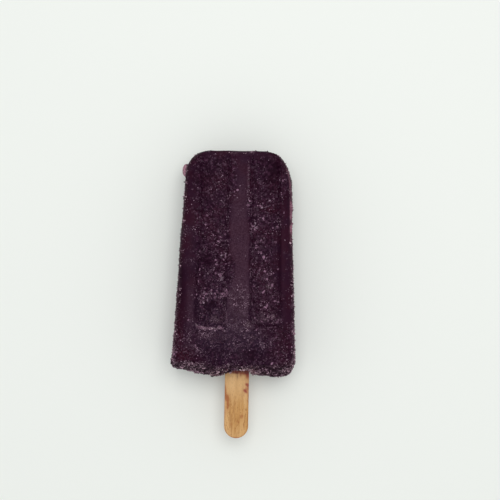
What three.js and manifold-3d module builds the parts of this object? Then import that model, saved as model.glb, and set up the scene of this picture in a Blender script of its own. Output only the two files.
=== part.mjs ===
// An ice lolly: a block of frozen fruit juice on a flat wooden stick, as it lies on its back.
//
// The block comes out of a tapered mould whose two broad walls each carry a pair of raised runners,
// so each broad face of the ice has two channels. A channel is closed at the stick's side and runs
// out through the tip, because the block has to slide out of its mould. The end round the stick is
// the free surface of the filling: it froze rough, domed and a little tilted.
//
// Like any uneven thing on a table it rests on three points of its back, which stand a hair's
// breadth proud of the flat ribs.
//
// Millimetres, +Z up. The stick points along -Y and the tip along +Y. The origin is the middle of
// the footprint, on the surface that the lolly lies on.

import * as THREE from "three";
import { mergeVertices } from "three/addons/utils/BufferGeometryUtils.js";
import Module from "manifold-3d";

const wasm = await Module();
wasm.setup();

// ---------------------------------------------------------------- driving dimensions

const BLOCK_LENGTH = 88.4; // rim of the free end to the tip, before the free end's dome
const LEFT = { atStick: 27.1, atTip: 22.2 }; // stick's line to the left side
const RIGHT = { atStick: 24.2, atTip: 20.7 }; // stick's line to the right side
const THICKNESS = { atStick: 26, atTip: 22.5 };

const SIDE_ROUNDING = 4.5; // radius along the four long edges, seen from an end
const TIP_ROUNDING = 5; // radius over the tip, seen from the side
const RIM_ROUNDING = 1.4; // the free end's rim, seen from the side
const TIP_CORNER_LEFT = { across: 8, along: 10 }; // corners as seen from above
const TIP_CORNER_RIGHT = { across: 9.1, along: 15 }; // this one has melted further back
const RIM_CORNER_LEFT = { across: 2.6, along: 2.6 };
const RIM_CORNER_RIGHT = { across: 6, along: 5.4 };

const CHANNEL_DEPTH = 2.3;
const CHANNEL_WALL = 2; // width of the sloped wall
const CHANNEL_END_CORNER = 5; // corner radius of the closed end
const CHANNEL_CLOSED_AT = 16.2; // closed end, from the rim
const CHANNEL_INNER = { atStick: 4.5, atTip: 3.4 }; // half of the middle rib
const CHANNEL_OUTER = { atStick: 18.6, atTip: 16.6 };

const DOME = 5.2; // how far the free end stands out halfway through the thickness
const DOME_TILT = 0.03; // mm more of that for each mm to the right
const RIM_CURVE = 0.0025; // how far the rim falls back towards the sides, mm for each square mm
const DOME_REACH = 16; // the dome's pull fades out over this length

// Where the back touches the table: two points near the rim's corners and one on the middle rib.
const FEET = [
  { x: -20, y: 5 },
  { x: 17.5, y: 5 },
  { x: 0, y: 76 },
];
const FOOT = { height: 0.15, reach: 6 };

const STICK_LENGTH = 93;
const STICK_WIDTH = 10;
const STICK_THICKNESS = 2;
const STICK_EDGE = 0.3; // rounding of its edges
const STICK_SHOWS = 25.6; // length outside the dome
const STICK_GAP = 0.3; // clearance all round, inside the ice

// Three layers of unevenness: its height, the size of its bumps and where its noise is read from.
const SWELL = { height: 0.35, size: 17, shift: 0 }; // slow waves left by melting
const GRAINS = { height: 0.3, size: 5, shift: 50 }; // packed ice crystals, in channels and band
const CRAGS = { height: 0.7, size: 5.2, shift: 96 }; // the free end
const CRAGS_REACH = 7; // the crags fade out over this length

const BEAD = { x: -22.2, fromTip: 8.2, radii: [2.1, 2.7, 1.9] }; // a refrozen drip on the left side

// The block's grid of points. Its columns and rows are counted from the middle of the width and
// from the rim, and stand closest where the form bends.
const SEGMENTS = { across: 28, along: 40, through: 10 };
const COLUMNS = { wallTop: 2, floor: 4, farFloor: 8, farWallTop: 10 };
const ROWS = { rim: 4, closedEnd: 9, endWall: 11, endCorner: 13, tip: 33 };
const RIM_REACH = 4; // lengths over which the rows close up towards the rim and the tip
const TIP_REACH = 10;

// ---------------------------------------------------------------- small helpers

const mix = (from, to, t) => from + (to - from) * t;
const clamp = THREE.MathUtils.clamp;
const smooth = (x, low, high) => THREE.MathUtils.smoothstep(x, low, high);

// 0 at the free end's rim and 1 at the tip. y is counted from the rim.
const alongBlock = (y) => clamp(y / BLOCK_LENGTH, 0, 1);
const halfThickness = (y) => mix(THICKNESS.atStick, THICKNESS.atTip, alongBlock(y)) / 2;

// A number from 0 to 1 that depends only on a lattice point.
function lattice(i, j, k) {
  let h = Math.imul(i, 374761393) ^ Math.imul(j, 668265263) ^ Math.imul(k, 1442695041);
  h = Math.imul(h ^ (h >>> 13), 1274126177);
  return ((h ^ (h >>> 16)) >>> 0) / 4294967295;
}

// Smooth noise from -1 to 1: the lattice's numbers, blended over each cell of the given size.
function noise(x, y, z, size) {
  const [p, q, r] = [x / size, y / size, z / size];
  const [i, j, k] = [Math.floor(p), Math.floor(q), Math.floor(r)];
  const [u, v, w] = [smooth(p - i, 0, 1), smooth(q - j, 0, 1), smooth(r - k, 0, 1)];
  const edge = (dj, dk) => mix(lattice(i, j + dj, k + dk), lattice(i + 1, j + dj, k + dk), u);
  return 2 * mix(mix(edge(0, 0), edge(1, 0), v), mix(edge(0, 1), edge(1, 1), v), w) - 1;
}

// The value at t of the line that joins the knots, each a place and its value.
function throughKnots(t, knots) {
  const next = Math.max(
    knots.findIndex(([place]) => place >= t),
    1,
  );
  const [[from, low], [to, high]] = [knots[next - 1], knots[next]];
  return mix(low, high, (t - from) / (to - from));
}

// ---------------------------------------------------------------- the block's form

// How far an ellipse-shaped corner has drawn a side in, where `left` mm of length remain.
function drawnIn(left, across, along) {
  const t = clamp(1 - left / along, 0, 1);
  return across * (1 - Math.sqrt(1 - t * t));
}

// The cross-section at y: its reach to the left and right, half its height and its edge radius.
// A side's full reach is what it would be without the corners at the rim and the tip.
function section(y) {
  const [toRim, toTip] = [y, BLOCK_LENGTH - y];
  const side = (sizes, rim, tip) => {
    const full = mix(sizes.atStick, sizes.atTip, alongBlock(y));
    const corners = drawnIn(toRim, rim.across, rim.along) + drawnIn(toTip, tip.across, tip.along);
    return { full, wide: full - corners };
  };
  const tall =
    halfThickness(y) -
    drawnIn(toRim, RIM_ROUNDING, RIM_ROUNDING) -
    drawnIn(toTip, TIP_ROUNDING, TIP_ROUNDING);
  return {
    left: side(LEFT, RIM_CORNER_LEFT, TIP_CORNER_LEFT),
    right: side(RIGHT, RIM_CORNER_RIGHT, TIP_CORNER_RIGHT),
    tall,
    radius: Math.min(SIDE_ROUNDING, 0.8 * tall),
  };
}

// A point on a rounded rectangle, for (a, c) on the edge of the square from -1 to 1. Each straight
// side keeps half of the arc at both of its ends. Across the broad faces, columns of points run
// along the channels' walls, and close up where the corners draw the sides in.
function onSection({ left, right, tall, radius }, a, c, y) {
  const { full, wide } = a < 0 ? left : right;
  const bend = (radius * Math.PI) / 4 - radius;
  const [inner, outer] = channelSides(y);
  const column = throughKnots((Math.abs(a) * SEGMENTS.across) / 2, [
    [0, 0],
    [COLUMNS.wallTop, inner],
    [COLUMNS.floor, inner + CHANNEL_WALL],
    [COLUMNS.farFloor, outer - CHANNEL_WALL],
    [COLUMNS.farWallTop, outer],
    [SEGMENTS.across / 2, full + bend],
  ]);
  const broad = Math.abs(c) >= Math.abs(a);
  const run = broad ? (column * (wide + bend)) / (full + bend) : Math.abs(c) * (tall + bend);
  const flat = (broad ? wide : tall) - radius;
  const turn = Math.max(run - flat, 0) / radius;
  const near = Math.min(run, flat) + radius * Math.sin(turn);
  const far = (broad ? tall : wide) - radius + radius * Math.cos(turn);
  const [x, z] = broad ? [near, far] : [far, near];
  return [Math.sign(a) * x, Math.sign(c) * z];
}

// How far the near and far sides of a channel are from the middle.
function channelSides(y) {
  return [CHANNEL_INNER, CHANNEL_OUTER].map(({ atStick, atTip }) =>
    mix(atStick, atTip, alongBlock(y)),
  );
}

// How deep the nearest channel is at (x, y): a slot with a rounded closed end and sloped walls.
function channelDepth(x, y) {
  const [inner, outer] = channelSides(y);
  const p = Math.abs(Math.abs(x) - (inner + outer) / 2) - ((outer - inner) / 2 - CHANNEL_END_CORNER);
  const q = CHANNEL_CLOSED_AT + CHANNEL_END_CORNER - y;
  const outside = Math.hypot(Math.max(p, 0), Math.max(q, 0)) + Math.min(Math.max(p, q), 0);
  return CHANNEL_DEPTH * smooth(CHANNEL_END_CORNER - outside, 0, CHANNEL_WALL);
}

// How far the free end is pulled out along -Y at (x, z), where z is counted from the middle.
function domePull(x, y, z) {
  const bulge = (DOME + DOME_TILT * x) * (1 - (z / halfThickness(y)) ** 2);
  return (bulge - RIM_CURVE * x * x) * (1 - smooth(y, 0, DOME_REACH));
}

// How far the back at (x, y) stays clear of the table: nothing at a foot.
function clearOfTable(x, y) {
  const nearest = Math.min(...FEET.map((foot) => Math.hypot(x - foot.x, y - foot.y)));
  return FOOT.height * smooth(nearest, 0, FOOT.reach);
}

// Where a row of points stands, counted from the rim.
function rowAt(row) {
  const closeUp = (rows, reach) => reach * (1 - Math.cos((rows * Math.PI) / 2));
  const fromTip = SEGMENTS.along - row;
  const tipRows = SEGMENTS.along - ROWS.tip;
  if (row < ROWS.rim) return closeUp(row / ROWS.rim, RIM_REACH);
  if (fromTip < tipRows) return BLOCK_LENGTH - closeUp(fromTip / tipRows, TIP_REACH);
  return throughKnots(row, [
    [ROWS.rim, RIM_REACH],
    [ROWS.closedEnd, CHANNEL_CLOSED_AT],
    [ROWS.endWall, CHANNEL_CLOSED_AT + CHANNEL_WALL],
    [ROWS.endCorner, CHANNEL_CLOSED_AT + CHANNEL_END_CORNER],
    [ROWS.tip, BLOCK_LENGTH - TIP_REACH],
  ]);
}

// One point of the block. (a, b, c) lies on the surface of a cube that reaches from -1 to 1.
function blockPoint(a, b, c) {
  const y = rowAt(((b + 1) / 2) * SEGMENTS.along);
  const ring = Math.max(Math.abs(a), Math.abs(c));
  const [edgeX, edgeZ] = ring > 0 ? onSection(section(y), a / ring, c / ring, y) : [0, 0];
  const depth = channelDepth(edgeX, y);
  const floorZ = Math.sign(edgeZ) * Math.min(Math.abs(edgeZ), halfThickness(y) - depth);
  const [x, z] = [ring * edgeX, ring * floorZ];
  const lift = clearOfTable(x, y) * smooth(-z / halfThickness(y), 0.8, 1);
  const point = new THREE.Vector3(x, y - domePull(x, y, z), z + halfThickness(y) + lift);
  return { point, depth, crags: 1 - smooth(y, 0, CRAGS_REACH) };
}

// How far the surface stands out at a point: slow swells, crystals in the channels and in the band
// between the channels and the rim, and crags on the free end.
function relief(p, depth, crags) {
  const bump = ({ height, size, shift }) => height * noise(p.x, p.y + shift, p.z, size);
  const inChannel = smooth(depth, 0.1 * CHANNEL_DEPTH, 0.7 * CHANNEL_DEPTH);
  const inBand = 1 - smooth(p.y, 0.8 * CHANNEL_CLOSED_AT, 1.3 * CHANNEL_CLOSED_AT);
  const grainy = Math.max(0.25, inChannel, 0.75 * inBand);
  return bump(SWELL) + grainy * bump(GRAINS) + crags * bump(CRAGS);
}

// A cube's grid bent into the block. The ribs of the back stay flat: the lolly lies on them.
function blockGeometry() {
  const cube = new THREE.BoxGeometry(2, 2, 2, SEGMENTS.across, SEGMENTS.along, SEGMENTS.through);
  cube.deleteAttribute("normal");
  cube.deleteAttribute("uv");
  const geometry = mergeVertices(cube);
  const position = geometry.getAttribute("position");
  const made = [];
  for (let i = 0; i < position.count; i++) {
    made.push(blockPoint(position.getX(i), position.getY(i), position.getZ(i)));
    position.setXYZ(i, ...made[i].point);
  }
  geometry.computeVertexNormals();
  const normal = geometry.getAttribute("normal");
  for (let i = 0; i < position.count; i++) {
    const { point, depth, crags } = made[i];
    const out = new THREE.Vector3().fromBufferAttribute(normal, i);
    const free = smooth(point.z, 2 * FOOT.height, 1);
    point.addScaledVector(out, free * relief(point, depth, crags));
    position.setXYZ(i, ...point);
  }
  return geometry;
}

// ---------------------------------------------------------------- solids

// A closed mesh as a manifold-3d solid, in the place that matrix gives it.
function solidOf(geometry, matrix = new THREE.Matrix4()) {
  const bare = geometry.clone().applyMatrix4(matrix);
  for (const name of Object.keys(bare.attributes)) {
    if (name !== "position") bare.deleteAttribute(name);
  }
  const merged = mergeVertices(bare, 1e-4);
  return new wasm.Manifold(
    new wasm.Mesh({
      numProp: 3,
      vertProperties: merged.attributes.position.array,
      triVerts: new Uint32Array(merged.index.array),
    }),
  );
}

function geometryOf(solid) {
  const mesh = solid.getMesh();
  const positions = new Float32Array(mesh.vertProperties);
  return new THREE.BufferGeometry()
    .setAttribute("position", new THREE.BufferAttribute(positions, 3))
    .setIndex(new THREE.BufferAttribute(mesh.triVerts, 1));
}

// The stick's outline, which has two round ends, made thicker all round by grow and given depth.
function stickGeometry(grow, edge) {
  const half = STICK_WIDTH / 2 + grow - edge;
  const run = STICK_LENGTH - STICK_WIDTH;
  const outline = new THREE.Shape();
  outline.moveTo(-half, 0);
  outline.absarc(0, 0, half, Math.PI, 2 * Math.PI, false);
  outline.absarc(0, run, half, 0, Math.PI, false);
  const deep = STICK_THICKNESS + 2 * grow - 2 * edge;
  return new THREE.ExtrudeGeometry(outline, {
    depth: deep,
    bevelEnabled: edge > 0,
    bevelThickness: edge,
    bevelSize: edge,
    bevelSegments: 2,
    curveSegments: 16,
  }).translate(0, 0, -deep / 2);
}

// The stick lies halfway through the thickness, which falls towards the tip.
const fall = (THICKNESS.atStick - THICKNESS.atTip) / 2 / BLOCK_LENGTH;
const stickPlace = new THREE.Object3D();
stickPlace.position.set(0, STICK_WIDTH / 2 - DOME - STICK_SHOWS, 0);
stickPlace.position.z = THICKNESS.atStick / 2 - fall * stickPlace.position.y;
stickPlace.rotation.x = -Math.atan(fall);
stickPlace.updateMatrix();

// The block with its refrozen drip, and the slot that the stick sits in.
function iceSolid() {
  const beadY = BLOCK_LENGTH - BEAD.fromTip;
  const beadPlace = new THREE.Matrix4().compose(
    new THREE.Vector3(BEAD.x, beadY, halfThickness(beadY)),
    new THREE.Quaternion(),
    new THREE.Vector3(...BEAD.radii),
  );
  return solidOf(blockGeometry())
    .add(solidOf(new THREE.SphereGeometry(1, 14, 10), beadPlace))
    .subtract(solidOf(stickGeometry(STICK_GAP, 0), stickPlace.matrix));
}

// ---------------------------------------------------------------- the lolly

const lolly = new THREE.Group();

const ice = new THREE.Mesh(
  geometryOf(iceSolid()),
  new THREE.MeshStandardMaterial({ color: 0x351f2d, roughness: 0.5, metalness: 0 }),
);
ice.name = "ice_block";
lolly.add(ice);

const stick = new THREE.Mesh(
  stickGeometry(0, STICK_EDGE),
  new THREE.MeshStandardMaterial({ color: 0xc29662, roughness: 0.7, metalness: 0 }),
);
stick.name = "stick";
stick.position.copy(stickPlace.position);
stick.rotation.copy(stickPlace.rotation);
lolly.add(stick);

// The origin goes to the middle of the footprint, level with the lowest point.
lolly.updateMatrixWorld(true);
const box = new THREE.Box3().setFromObject(lolly, true);
const middle = box.getCenter(new THREE.Vector3());
lolly.position.set(-middle.x, -middle.y, -box.min.z);

export default lolly;
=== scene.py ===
# %% [markdown]
# # An ice lolly on a pale table
#
# The real thing is two pieces: a block of dark fruit juice, frozen in a tapered mould, and the flat
# wooden stick that it froze onto. The CAD frame holds both at their true size. Here each of them
# gets its fine surface: the ice is worked out again from the same sizes with twenty times as many
# points, loose crystals and frost are strewn over it, and the stick gets its grain and juice stains.
#
# Shapes are worked out in millimetres, because the block's sizes read best that way, and become
# metres when they are put into a mesh.

# %% Load the frame
import math

import bmesh
import bpy
import numpy as np
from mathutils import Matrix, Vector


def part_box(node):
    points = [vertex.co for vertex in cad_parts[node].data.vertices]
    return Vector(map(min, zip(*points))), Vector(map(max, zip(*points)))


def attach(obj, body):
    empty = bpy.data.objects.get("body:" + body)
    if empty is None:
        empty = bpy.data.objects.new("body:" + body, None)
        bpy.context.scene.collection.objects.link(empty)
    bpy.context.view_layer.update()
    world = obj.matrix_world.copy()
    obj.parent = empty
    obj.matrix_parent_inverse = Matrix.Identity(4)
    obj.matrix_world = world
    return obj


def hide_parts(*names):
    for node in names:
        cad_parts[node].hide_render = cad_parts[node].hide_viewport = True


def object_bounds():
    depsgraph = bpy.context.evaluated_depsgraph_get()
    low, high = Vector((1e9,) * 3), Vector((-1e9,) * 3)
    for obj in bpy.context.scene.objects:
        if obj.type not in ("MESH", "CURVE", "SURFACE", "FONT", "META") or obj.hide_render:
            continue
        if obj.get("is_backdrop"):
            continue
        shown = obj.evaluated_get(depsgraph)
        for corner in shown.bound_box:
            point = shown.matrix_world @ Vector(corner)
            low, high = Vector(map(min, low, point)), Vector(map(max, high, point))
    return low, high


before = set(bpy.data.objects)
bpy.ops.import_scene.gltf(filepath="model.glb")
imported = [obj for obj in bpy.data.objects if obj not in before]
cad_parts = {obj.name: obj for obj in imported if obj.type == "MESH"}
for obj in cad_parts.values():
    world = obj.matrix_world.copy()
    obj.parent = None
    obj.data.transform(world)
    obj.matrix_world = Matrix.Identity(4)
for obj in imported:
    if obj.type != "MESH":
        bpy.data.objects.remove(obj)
cad_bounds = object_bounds()

MM = 0.001
stick_low, stick_high = (np.array(corner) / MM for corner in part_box("stick"))
ice_low, ice_high = (np.array(corner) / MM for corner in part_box("ice_block"))
print("the frame holds", " and ".join(sorted(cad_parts)))
print("ice from", ice_low.round(2), "to", ice_high.round(2), "mm")
print("stick from", stick_low.round(2), "to", stick_high.round(2), "mm")

# %% [markdown]
# ## Where the lolly's own measures start
#
# The block is easiest to describe from the stick's line (x = 0), from the rim of its free end
# (y = 0) and from the table (z = 0). The stick's box in the frame gives both starting lines: its
# middle is the stick's line, and its end lies a known way outside the rim.

# %% The block's starting lines
DOME = 5.2  # how far the free end stands out of its rim
STICK_SHOWS = 25.6  # length of stick outside the dome

line_x = (stick_low[0] + stick_high[0]) / 2
rim_y = stick_low[1] + STICK_SHOWS + DOME
start = np.array([line_x, rim_y, 0.0])
print("stick's line at x =", round(line_x, 2), "and rim at y =", round(rim_y, 2), "mm")

# %% [markdown]
# ## The camera
#
# It looks straight down from half a metre over the stick, turned by one degree, with a lens that
# makes a millimetre at the stick's height 2.4 pixels of a picture 500 pixels wide. No shift and no
# depth of field, so that every other view of the scene works as well.

# %% Make the camera
PICTURE = 500  # pixels across
SENSOR_WIDTH = 36.0
PIXELS_PER_MM = 2.4  # at the stick's height
CAMERA_ABOVE_STICK = 500.0
STICK_END_PIXEL = (235.9, 437.6)  # where the stick's end shows, on its line
LEAN = math.radians(1.03)  # the lolly leans to the right in the picture

middle = PICTURE / 2
aside = (middle - STICK_END_PIXEL[0]) / PIXELS_PER_MM
ahead = (STICK_END_PIXEL[1] - middle) / PIXELS_PER_MM
stick_level = (stick_low[2] + stick_high[2]) / 2
eye_x = line_x + aside * math.cos(LEAN) - ahead * math.sin(LEAN)
eye_y = stick_low[1] + aside * math.sin(LEAN) + ahead * math.cos(LEAN)

camera_data = bpy.data.cameras.new("camera")
camera_data.sensor_width = SENSOR_WIDTH
camera_data.lens = SENSOR_WIDTH * CAMERA_ABOVE_STICK * PIXELS_PER_MM / PICTURE
camera_data.clip_start = 0.01  # metres
camera = bpy.data.objects.new("camera", camera_data)
camera.location = (eye_x * MM, eye_y * MM, (stick_level + CAMERA_ABOVE_STICK) * MM)
camera.rotation_euler = (0, 0, LEAN)
bpy.context.scene.collection.objects.link(camera)
bpy.context.scene.camera = camera
print("camera at", [round(c, 4) for c in camera.location], "lens", round(camera_data.lens, 1), "mm")

# %% [markdown]
# ## Table and light
#
# A white table under one broad soft lamp, with a pale room all round. The lamp is nearly overhead,
# so the shadow is a narrow soft one on all sides. Dark ice shows every reflection as a grey veil,
# which is why there is one large even lamp here instead of several small bright ones. The plain
# "Standard" view keeps colours as they are given.

# %% The table
TABLE_HALF = 3.0  # metres
TABLE_WHITE = (0.85, 0.87, 0.82, 1)

table_mesh = bpy.data.meshes.new("table")
table_corners = [(x * TABLE_HALF, y * TABLE_HALF, 0) for x, y in ((-1, -1), (1, -1), (1, 1), (-1, 1))]
table_mesh.from_pydata(table_corners, [], [(0, 1, 2, 3)])
table = bpy.data.objects.new("table", table_mesh)
white = bpy.data.materials.new("white table")
white.use_nodes = True
white_shader = white.node_tree.nodes["Principled BSDF"]
white_shader.inputs["Base Color"].default_value = TABLE_WHITE
white_shader.inputs["Roughness"].default_value = 0.6
table_mesh.materials.append(white)
bpy.context.scene.collection.objects.link(table)
table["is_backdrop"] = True
print("table of", 2 * TABLE_HALF, "metres")

# %% The pale room
ROOM_COLOUR = (0.96, 0.98, 1.0, 1)
ROOM_STRENGTH = 0.67

world = bpy.data.worlds.new("pale room")
world.use_nodes = True
room = world.node_tree.nodes["Background"]
room.inputs["Color"].default_value = ROOM_COLOUR
room.inputs["Strength"].default_value = ROOM_STRENGTH
bpy.context.scene.world = world
print("room of strength", ROOM_STRENGTH)

# %% The lamp and the view
# A lamp shines along its own -Z. It is tilted by its angle off the vertical and then turned about Z,
# so that it looks at the middle of the table.
LAMP_AT = (0.07, 0.25, 1.0)  # metres
LAMP_SIZE = 0.65
LAMP_WATTS = 4.5

lamp_data = bpy.data.lights.new("lamp overhead", "AREA")
lamp_data.size = LAMP_SIZE
lamp_data.energy = LAMP_WATTS
lamp = bpy.data.objects.new("lamp overhead", lamp_data)
lamp.location = LAMP_AT
off_vertical = math.atan2(math.hypot(LAMP_AT[0], LAMP_AT[1]), LAMP_AT[2])
lamp.rotation_euler = (off_vertical, 0, math.atan2(-LAMP_AT[0], LAMP_AT[1]) + math.pi)
lamp.visible_camera = False
bpy.context.scene.collection.objects.link(lamp)

bpy.context.scene.view_settings.view_transform = "Standard"
bpy.context.scene.view_settings.look = "None"
print("lamp tilted by", round(math.degrees(off_vertical), 1), "degrees")

# %% [markdown]
# ## Noise
#
# Ice is uneven at every size, so its shape needs noise. Blender has noise functions of its own, in
# mathutils, but they take one point at a time, and the swells would lie elsewhere than the solid's.
# So the noise is the solid's own. Each point of a lattice gets a number by whole-number arithmetic,
# and the numbers are blended over each cell. A second kind of noise finds the nearest of many strewn
# points, which splits space into cells like packed crystals. Both take whole arrays at once.

# %% Smooth noise
def mix(a, b, t):
    return a + (b - a) * t


def smooth(x, low, high):
    """0 below low, 1 above high, and 3t^2 - 2t^3 between them. Where low is the larger of the two, it
    falls from 1 to 0 instead."""
    t = np.clip((x - low) / (high - low), 0, 1)
    return t * t * (3 - 2 * t)


def lattice(i, j, k):
    """A number from 0 to 1 for each lattice point: its whole numbers, each times a large odd number,
    are mixed by exclusive or, shifted down, multiplied and shifted again."""
    i, j, k = (np.asarray(n).astype(np.int64).astype(np.uint32) for n in (i, j, k))
    h = i * np.uint32(374761393) ^ j * np.uint32(668265263) ^ k * np.uint32(1442695041)
    h = (h ^ (h >> np.uint32(13))) * np.uint32(1274126177)
    return (h ^ (h >> np.uint32(16))) / 4294967295.0


def noise(p, size, shift=0.0):
    """Smooth noise from -1 to 1 at points p: lattice numbers blended over cells of that size."""
    q = (p + np.array([0, shift, 0])) / size
    cell = np.floor(q)
    u, v, w = np.moveaxis(smooth(q - cell, 0, 1), -1, 0)
    i, j, k = np.moveaxis(cell, -1, 0)

    def edge(dj, dk):
        return mix(lattice(i, j + dj, k + dk), lattice(i + 1, j + dj, k + dk), u)

    return 2 * mix(mix(edge(0, 0), edge(1, 0), v), mix(edge(0, 1), edge(1, 1), v), w) - 1


def layered(p, size, layers=3, shift=0.0):
    """Noise plus itself at half the size and half the height, and so on, kept within -1 to 1."""
    total = sum(noise(p, size / 2**n, shift + 37 * n) / 2**n for n in range(layers))
    return total / (2 - 0.5 ** (layers - 1))


# %% Cell noise
def cells(p, size, shift=0.0):
    """For points p: how far the edge of their cell is, from 0 to about 1, and the height of a plane
    that is tilted at random in each cell. A cell is all that is nearest to one of the strewn points,
    which lie one to each box of a lattice of that size."""
    q = (p + np.array([0, shift, 0])) / size
    home = np.floor(q)
    best = np.full(q.shape[:-1], 9.0)
    second = np.full(q.shape[:-1], 9.0)
    plane = np.zeros(q.shape[:-1])
    for di, dj, dk in np.ndindex(3, 3, 3):
        box = home + np.array([di, dj, dk]) - 1
        i, j, k = np.moveaxis(box, -1, 0)
        point = box + np.stack([lattice(i + 11 * n, j, k + 7) for n in (1, 2, 3)], axis=-1)
        away = q - point
        far = np.linalg.norm(away, axis=-1)
        tilt = np.stack([lattice(i, j + 13 * n, k + 5) for n in (1, 2, 3)], axis=-1) * 2 - 1
        height = (away * tilt).sum(-1) + lattice(i + 3, j + 4, k + 9) - 0.5
        nearer = far < best
        second = np.where(nearer, best, np.minimum(second, far))
        plane = np.where(nearer, height, plane)
        best = np.where(nearer, far, best)
    return second - best, plane


def facets(p, size, shift=0.0, seam=0.22):
    """The tilted planes of the cells, sunk to nothing along the seams between them."""
    gap, plane = cells(p, size, shift)
    return plane * smooth(gap, 0, seam)


probe = np.random.default_rng(1).uniform(-30, 30, (4000, 3))
print("noise spreads", noise(probe, 5).std().round(2), "facets", facets(probe, 2).std().round(2))

# %% [markdown]
# ## Closed surfaces
#
# Nearly every piece here is one grid of points, bent until it closes: its columns run round and meet
# again, and its first and last rows are shut by one point each, a pole. Such a piece could also be
# modelled from a cube with modifiers, but a grid takes any formula for its shape and can't tear. One
# function gives the faces of such a grid and another puts any set of faces into a mesh.

# %% Grid to mesh
def closed_faces(rows, columns):
    """Corner numbers of the faces of a closed grid, as (quads, triangles). The points are numbered
    row by row, and the start pole and the end pole come after them."""
    row, column = np.meshgrid(np.arange(rows - 1), np.arange(columns), indexing="ij")
    here = row * columns + column
    beside = row * columns + (column + 1) % columns
    quads = np.stack([here, beside, beside + columns, here + columns], -1).reshape(-1, 4)
    column = np.arange(columns)
    following = (column + 1) % columns
    last = (rows - 1) * columns
    start_fan = np.stack([following, column, np.full(columns, rows * columns)], -1)
    end_fan = np.stack([last + column, last + following, np.full(columns, rows * columns + 1)], -1)
    return quads, np.concatenate([start_fan, end_fan])


def volume(points, quads, triangles):
    """Volume inside the faces: a sixth of the sum of a.(b x c) over their triangles."""
    all_triangles = np.concatenate([quads[:, [0, 1, 2]], quads[:, [0, 2, 3]], triangles])
    a, b, c = (points[all_triangles[:, n]] for n in range(3))
    return (a * np.cross(b, c)).sum() / 6


def put_in_mesh(name, points, quads, triangles, flat=False):
    """A new object from points in the frame's millimetres. Faces are turned round together where the
    volume inside them comes out negative, so that they always look outwards."""
    inside = volume(points, quads, triangles)
    if inside < 0:
        quads, triangles = quads[:, ::-1], triangles[:, ::-1]
    mesh = bpy.data.meshes.new(name)
    mesh.vertices.add(len(points))
    mesh.vertices.foreach_set("co", (points * MM).astype(np.float32).ravel())
    corners = np.concatenate([quads.ravel(), triangles.ravel()]).astype(np.int32)
    sides = np.concatenate([np.full(len(quads), 4), np.full(len(triangles), 3)])
    mesh.loops.add(len(corners))
    mesh.loops.foreach_set("vertex_index", corners)
    mesh.polygons.add(len(sides))
    mesh.polygons.foreach_set("loop_start", (np.cumsum(sides) - sides).astype(np.int32))
    mesh.polygons.foreach_set("use_smooth", np.full(len(sides), not flat))
    mesh.update(calc_edges=True)
    mesh.validate()
    made = bpy.data.objects.new(name, mesh)
    bpy.context.scene.collection.objects.link(made)
    millilitres = round(abs(inside) / 1000, 2)
    print(name, "has", int((sides - 2).sum()), "triangles and", millilitres, "ml")
    return made


def keep_on_mesh(piece, name, values):
    """Stores one number for each point of the piece, for a material to read."""
    stored = piece.data.attributes.new(name, "FLOAT", "POINT")
    stored.data.foreach_set("value", np.ascontiguousarray(values, np.float32).ravel())


small_grid = closed_faces(3, 4)
print("3 rows of 4 points make", len(small_grid[0]), "quads and", len(small_grid[1]), "triangles")

# %% [markdown]
# ## The block's form
#
# These are the solid's own sizes and formulas: a tapered rounded rectangle for the cross-section,
# whose sides draw in along a quarter ellipse at each corner of the outline, two channels in each
# broad face, and a free end that is pulled out into a dome. A copy of the solid could be subdivided
# instead, but that only rounds its facets and adds no form between them. Repeating the formulas gives
# the fine surface exactly the solid's form.

# %% The block's sizes
BLOCK_LENGTH = 88.4  # rim to tip
LEFT = (27.1, 22.2)  # stick's line to the left side, at the rim and at the tip
RIGHT = (24.2, 20.7)
THICKNESS = (26.0, 22.5)
SIDE_ROUNDING = 4.5
TIP_ROUNDING = 5.0
RIM_ROUNDING = 1.4
TIP_CORNER_LEFT = (8.0, 10.0)  # across and along
TIP_CORNER_RIGHT = (9.1, 15.0)
RIM_CORNER_LEFT = (2.6, 2.6)
RIM_CORNER_RIGHT = (6.0, 5.4)

CHANNEL_DEPTH = 2.3
CHANNEL_WALL = 2.0
CHANNEL_END_CORNER = 5.0
CHANNEL_CLOSED_AT = 16.2
CHANNEL_INNER = (4.5, 3.4)
CHANNEL_OUTER = (18.6, 16.6)

DOME_TILT = 0.03
RIM_CURVE = 0.0025
DOME_REACH = 16.0

FEET = ((-20, 5), (17.5, 5), (0, 76))
FOOT_HEIGHT = 0.15
FOOT_REACH = 6.0
print("block", BLOCK_LENGTH, "mm long and", round(LEFT[0] + RIGHT[0], 1), "mm wide at the rim")


def tapered(sizes, y):
    """A size that changes evenly from the rim to the tip."""
    return mix(sizes[0], sizes[1], np.clip(y / BLOCK_LENGTH, 0, 1))


def half_thickness(y):
    return tapered(THICKNESS, y) / 2


def drawn_in(left, across, along):
    """How far an elliptic corner has drawn a side in where `left` mm of length remain:
    across * (1 - sqrt(1 - t^2)), with t running from 0 to 1 over the last `along` mm."""
    t = np.clip(1 - left / along, 0, 1)
    return across * (1 - np.sqrt(1 - t * t))


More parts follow.
